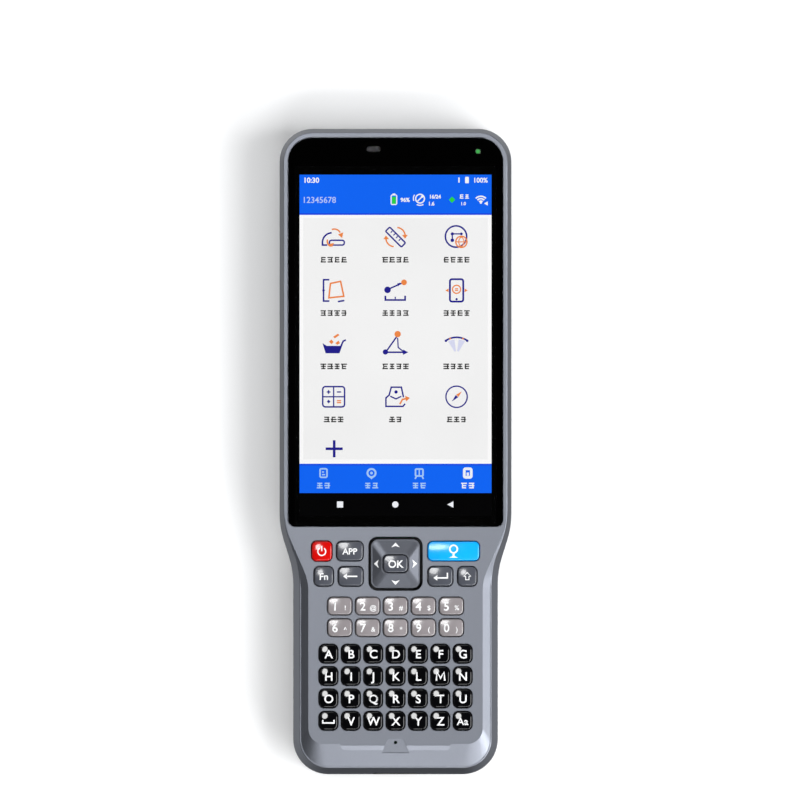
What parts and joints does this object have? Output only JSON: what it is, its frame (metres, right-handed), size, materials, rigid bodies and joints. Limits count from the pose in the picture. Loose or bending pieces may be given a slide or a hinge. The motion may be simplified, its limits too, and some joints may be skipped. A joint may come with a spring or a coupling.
{
  "type": "data collector",
  "caption": "Handheld survey data collector with a tall touch screen, a four-way rocker and a letter and number keypad.",
  "frame": {"origin": "middle of the flat back, with the device lying on it, screen up", "axes": "+X to the right of the screen, +Y towards the top end, +Z out of the screen"},
  "size_m": [0.0828, 0.2304, 0.022],
  "materials": {
    "housing_paint": "satin painted plastic with a fine grain",
    "rear_shell": "matt moulded plastic",
    "cover_glass": "clear polished",
    "display": "smooth, lit from inside",
    "circuit_board": "solder mask",
    "silicone": "matt",
    "soft_rubber": "matt",
    "battery_wrap": "printed film",
    "screw_steel": "machined",
    "key_black": "high gloss",
    "key_grey": "satin gloss",
    "key_warm_grey": "satin gloss",
    "key_red": "high gloss",
    "key_blue": "high gloss"
  },
  "bodies": {
    "casing": {"front_housing": "housing_paint", "rear_housing": "rear_shell", "touch_glass": "cover_glass", "display_module": "display", "main_board": "circuit_board", "keypad_board": "circuit_board", "keypad_mat": "silicone", "battery_pack": "battery_wrap", "housing_seal": "silicone", "housing_screws": "screw_steel", "camera_window": "cover_glass"},
    "power_key": {"power_key": "key_red"},
    "measure_key": {"measure_key": "key_blue"},
    "app_key": {"app_key": "key_grey"},
    "fn_key": {"fn_key": "key_grey"},
    "backspace_key": {"backspace_key": "key_grey"},
    "enter_key": {"enter_key": "key_grey"},
    "shift_key": {"shift_key": "key_grey"},
    "ok_key": {"ok_key": "key_grey"},
    "number_key_1": {"number_key_1": "key_warm_grey"},
    "number_key_2": {"number_key_2": "key_warm_grey"},
    "number_key_3": {"number_key_3": "key_warm_grey"},
    "number_key_4": {"number_key_4": "key_warm_grey"},
    "number_key_5": {"number_key_5": "key_warm_grey"},
    "number_key_6": {"number_key_6": "key_warm_grey"},
    "number_key_7": {"number_key_7": "key_warm_grey"},
    "number_key_8": {"number_key_8": "key_warm_grey"},
    "number_key_9": {"number_key_9": "key_warm_grey"},
    "number_key_0": {"number_key_0": "key_warm_grey"},
    "letter_key_a": {"letter_key_a": "key_black"},
    "letter_key_b": {"letter_key_b": "key_black"},
    "letter_key_c": {"letter_key_c": "key_black"},
    "letter_key_d": {"letter_key_d": "key_black"},
    "letter_key_e": {"letter_key_e": "key_black"},
    "letter_key_f": {"letter_key_f": "key_black"},
    "letter_key_g": {"letter_key_g": "key_black"},
    "letter_key_h": {"letter_key_h": "key_black"},
    "letter_key_i": {"letter_key_i": "key_black"},
    "letter_key_j": {"letter_key_j": "key_black"},
    "letter_key_k": {"letter_key_k": "key_black"},
    "letter_key_l": {"letter_key_l": "key_black"},
    "letter_key_m": {"letter_key_m": "key_black"},
    "letter_key_n": {"letter_key_n": "key_black"},
    "letter_key_o": {"letter_key_o": "key_black"},
    "letter_key_p": {"letter_key_p": "key_black"},
    "letter_key_q": {"letter_key_q": "key_black"},
    "letter_key_r": {"letter_key_r": "key_black"},
    "letter_key_s": {"letter_key_s": "key_black"},
    "letter_key_t": {"letter_key_t": "key_black"},
    "letter_key_u": {"letter_key_u": "key_black"},
    "letter_key_v": {"letter_key_v": "key_black"},
    "letter_key_w": {"letter_key_w": "key_black"},
    "letter_key_x": {"letter_key_x": "key_black"},
    "letter_key_y": {"letter_key_y": "key_black"},
    "letter_key_z": {"letter_key_z": "key_black"},
    "space_key": {"space_key": "key_black"},
    "case_key": {"case_key": "key_black"},
    "dpad_plunger": {"dpad_plunger": "silicone"},
    "dpad_ring": {"dpad_ring": "key_grey"},
    "port_cover": {"port_cover": "soft_rubber"}
  },
  "joints": [
    {"name": "power_key_press", "type": "slide", "parent": "casing", "child": "power_key", "axis": [0, 0, -1], "range_m": [0, 0.0006], "stiffness_N_per_m": 1500, "springref_m": -0.0003},
    {"name": "measure_key_press", "type": "slide", "parent": "casing", "child": "measure_key", "axis": [0, 0, -1], "range_m": [0, 0.0006], "stiffness_N_per_m": 1500, "springref_m": -0.0003},
    {"name": "app_key_press", "type": "slide", "parent": "casing", "child": "app_key", "axis": [0, 0, -1], "range_m": [0, 0.0006], "stiffness_N_per_m": 1500, "springref_m": -0.0003},
    {"name": "fn_key_press", "type": "slide", "parent": "casing", "child": "fn_key", "axis": [0, 0, -1], "range_m": [0, 0.0006], "stiffness_N_per_m": 1500, "springref_m": -0.0003},
    {"name": "backspace_key_press", "type": "slide", "parent": "casing", "child": "backspace_key", "axis": [0, 0, -1], "range_m": [0, 0.0006], "stiffness_N_per_m": 1500, "springref_m": -0.0003},
    {"name": "enter_key_press", "type": "slide", "parent": "casing", "child": "enter_key", "axis": [0, 0, -1], "range_m": [0, 0.0006], "stiffness_N_per_m": 1500, "springref_m": -0.0003},
    {"name": "shift_key_press", "type": "slide", "parent": "casing", "child": "shift_key", "axis": [0, 0, -1], "range_m": [0, 0.0006], "stiffness_N_per_m": 1500, "springref_m": -0.0003},
    {"name": "ok_key_press", "type": "slide", "parent": "casing", "child": "ok_key", "axis": [0, 0, -1], "range_m": [0, 0.0006], "stiffness_N_per_m": 1500, "springref_m": -0.0003},
    {"name": "number_key_1_press", "type": "slide", "parent": "casing", "child": "number_key_1", "axis": [0, 0, -1], "range_m": [0, 0.0006], "stiffness_N_per_m": 1500, "springref_m": -0.0003},
    {"name": "number_key_2_press", "type": "slide", "parent": "casing", "child": "number_key_2", "axis": [0, 0, -1], "range_m": [0, 0.0006], "stiffness_N_per_m": 1500, "springref_m": -0.0003},
    {"name": "number_key_3_press", "type": "slide", "parent": "casing", "child": "number_key_3", "axis": [0, 0, -1], "range_m": [0, 0.0006], "stiffness_N_per_m": 1500, "springref_m": -0.0003},
    {"name": "number_key_4_press", "type": "slide", "parent": "casing", "child": "number_key_4", "axis": [0, 0, -1], "range_m": [0, 0.0006], "stiffness_N_per_m": 1500, "springref_m": -0.0003},
    {"name": "number_key_5_press", "type": "slide", "parent": "casing", "child": "number_key_5", "axis": [0, 0, -1], "range_m": [0, 0.0006], "stiffness_N_per_m": 1500, "springref_m": -0.0003},
    {"name": "number_key_6_press", "type": "slide", "parent": "casing", "child": "number_key_6", "axis": [0, 0, -1], "range_m": [0, 0.0006], "stiffness_N_per_m": 1500, "springref_m": -0.0003},
    {"name": "number_key_7_press", "type": "slide", "parent": "casing", "child": "number_key_7", "axis": [0, 0, -1], "range_m": [0, 0.0006], "stiffness_N_per_m": 1500, "springref_m": -0.0003},
    {"name": "number_key_8_press", "type": "slide", "parent": "casing", "child": "number_key_8", "axis": [0, 0, -1], "range_m": [0, 0.0006], "stiffness_N_per_m": 1500, "springref_m": -0.0003},
    {"name": "number_key_9_press", "type": "slide", "parent": "casing", "child": "number_key_9", "axis": [0, 0, -1], "range_m": [0, 0.0006], "stiffness_N_per_m": 1500, "springref_m": -0.0003},
    {"name": "number_key_0_press", "type": "slide", "parent": "casing", "child": "number_key_0", "axis": [0, 0, -1], "range_m": [0, 0.0006], "stiffness_N_per_m": 1500, "springref_m": -0.0003},
    {"name": "letter_key_a_press", "type": "slide", "parent": "casing", "child": "letter_key_a", "axis": [0, 0, -1], "range_m": [0, 0.0006], "stiffness_N_per_m": 1500, "springref_m": -0.0003},
    {"name": "letter_key_b_press", "type": "slide", "parent": "casing", "child": "letter_key_b", "axis": [0, 0, -1], "range_m": [0, 0.0006], "stiffness_N_per_m": 1500, "springref_m": -0.0003},
    {"name": "letter_key_c_press", "type": "slide", "parent": "casing", "child": "letter_key_c", "axis": [0, 0, -1], "range_m": [0, 0.0006], "stiffness_N_per_m": 1500, "springref_m": -0.0003},
    {"name": "letter_key_d_press", "type": "slide", "parent": "casing", "child": "letter_key_d", "axis": [0, 0, -1], "range_m": [0, 0.0006], "stiffness_N_per_m": 1500, "springref_m": -0.0003},
    {"name": "letter_key_e_press", "type": "slide", "parent": "casing", "child": "letter_key_e", "axis": [0, 0, -1], "range_m": [0, 0.0006], "stiffness_N_per_m": 1500, "springref_m": -0.0003},
    {"name": "letter_key_f_press", "type": "slide", "parent": "casing", "child": "letter_key_f", "axis": [0, 0, -1], "range_m": [0, 0.0006], "stiffness_N_per_m": 1500, "springref_m": -0.0003},
    {"name": "letter_key_g_press", "type": "slide", "parent": "casing", "child": "letter_key_g", "axis": [0, 0, -1], "range_m": [0, 0.0006], "stiffness_N_per_m": 1500, "springref_m": -0.0003},
    {"name": "letter_key_h_press", "type": "slide", "parent": "casing", "child": "letter_key_h", "axis": [0, 0, -1], "range_m": [0, 0.0006], "stiffness_N_per_m": 1500, "springref_m": -0.0003},
    {"name": "letter_key_i_press", "type": "slide", "parent": "casing", "child": "letter_key_i", "axis": [0, 0, -1], "range_m": [0, 0.0006], "stiffness_N_per_m": 1500, "springref_m": -0.0003},
    {"name": "letter_key_j_press", "type": "slide", "parent": "casing", "child": "letter_key_j", "axis": [0, 0, -1], "range_m": [0, 0.0006], "stiffness_N_per_m": 1500, "springref_m": -0.0003},
    {"name": "letter_key_k_press", "type": "slide", "parent": "casing", "child": "letter_key_k", "axis": [0, 0, -1], "range_m": [0, 0.0006], "stiffness_N_per_m": 1500, "springref_m": -0.0003},
    {"name": "letter_key_l_press", "type": "slide", "parent": "casing", "child": "letter_key_l", "axis": [0, 0, -1], "range_m": [0, 0.0006], "stiffness_N_per_m": 1500, "springref_m": -0.0003},
    {"name": "letter_key_m_press", "type": "slide", "parent": "casing", "child": "letter_key_m", "axis": [0, 0, -1], "range_m": [0, 0.0006], "stiffness_N_per_m": 1500, "springref_m": -0.0003},
    {"name": "letter_key_n_press", "type": "slide", "parent": "casing", "child": "letter_key_n", "axis": [0, 0, -1], "range_m": [0, 0.0006], "stiffness_N_per_m": 1500, "springref_m": -0.0003},
    {"name": "letter_key_o_press", "type": "slide", "parent": "casing", "child": "letter_key_o", "axis": [0, 0, -1], "range_m": [0, 0.0006], "stiffness_N_per_m": 1500, "springref_m": -0.0003},
    {"name": "letter_key_p_press", "type": "slide", "parent": "casing", "child": "letter_key_p", "axis": [0, 0, -1], "range_m": [0, 0.0006], "stiffness_N_per_m": 1500, "springref_m": -0.0003},
    {"name": "letter_key_q_press", "type": "slide", "parent": "casing", "child": "letter_key_q", "axis": [0, 0, -1], "range_m": [0, 0.0006], "stiffness_N_per_m": 1500, "springref_m": -0.0003},
    {"name": "letter_key_r_press", "type": "slide", "parent": "casing", "child": "letter_key_r", "axis": [0, 0, -1], "range_m": [0, 0.0006], "stiffness_N_per_m": 1500, "springref_m": -0.0003},
    {"name": "letter_key_s_press", "type": "slide", "parent": "casing", "child": "letter_key_s", "axis": [0, 0, -1], "range_m": [0, 0.0006], "stiffness_N_per_m": 1500, "springref_m": -0.0003},
    {"name": "letter_key_t_press", "type": "slide", "parent": "casing", "child": "letter_key_t", "axis": [0, 0, -1], "range_m": [0, 0.0006], "stiffness_N_per_m": 1500, "springref_m": -0.0003},
    {"name": "letter_key_u_press", "type": "slide", "parent": "casing", "child": "letter_key_u", "axis": [0, 0, -1], "range_m": [0, 0.0006], "stiffness_N_per_m": 1500, "springref_m": -0.0003},
    {"name": "letter_key_v_press", "type": "slide", "parent": "casing", "child": "letter_key_v", "axis": [0, 0, -1], "range_m": [0, 0.0006], "stiffness_N_per_m": 1500, "springref_m": -0.0003},
    {"name": "letter_key_w_press", "type": "slide", "parent": "casing", "child": "letter_key_w", "axis": [0, 0, -1], "range_m": [0, 0.0006], "stiffness_N_per_m": 1500, "springref_m": -0.0003},
    {"name": "letter_key_x_press", "type": "slide", "parent": "casing", "child": "letter_key_x", "axis": [0, 0, -1], "range_m": [0, 0.0006], "stiffness_N_per_m": 1500, "springref_m": -0.0003},
    {"name": "letter_key_y_press", "type": "slide", "parent": "casing", "child": "letter_key_y", "axis": [0, 0, -1], "range_m": [0, 0.0006], "stiffness_N_per_m": 1500, "springref_m": -0.0003},
    {"name": "letter_key_z_press", "type": "slide", "parent": "casing", "child": "letter_key_z", "axis": [0, 0, -1], "range_m": [0, 0.0006], "stiffness_N_per_m": 1500, "springref_m": -0.0003},
    {"name": "space_key_press", "type": "slide", "parent": "casing", "child": "space_key", "axis": [0, 0, -1], "range_m": [0, 0.0006], "stiffness_N_per_m": 1500, "springref_m": -0.0003},
    {"name": "case_key_press", "type": "slide", "parent": "casing", "child": "case_key", "axis": [0, 0, -1], "range_m": [0, 0.0006], "stiffness_N_per_m": 1500, "springref_m": -0.0003},
    {"name": "rocker_tilt_up_down", "type": "hinge", "parent": "casing", "child": "dpad_plunger", "pos_m": [0, -0.04, 0.01605], "axis": [1, 0, 0], "range_deg": [-2.5, 2.5], "stiffness_Nm_per_rad": 0.3},
    {"name": "rocker_tilt_left_right", "type": "hinge", "parent": "dpad_plunger", "child": "dpad_ring", "pos_m": [0, -0.04, 0.01735], "axis": [0, 1, 0], "range_deg": [-2.5, 2.5], "stiffness_Nm_per_rad": 0.3},
    {"name": "port_cover_hinge", "type": "hinge", "parent": "casing", "child": "port_cover", "pos_m": [-0.0083, -0.11525, 0.0113], "axis": [0, 0, -1], "range_deg": [0, 110]}
  ]
}
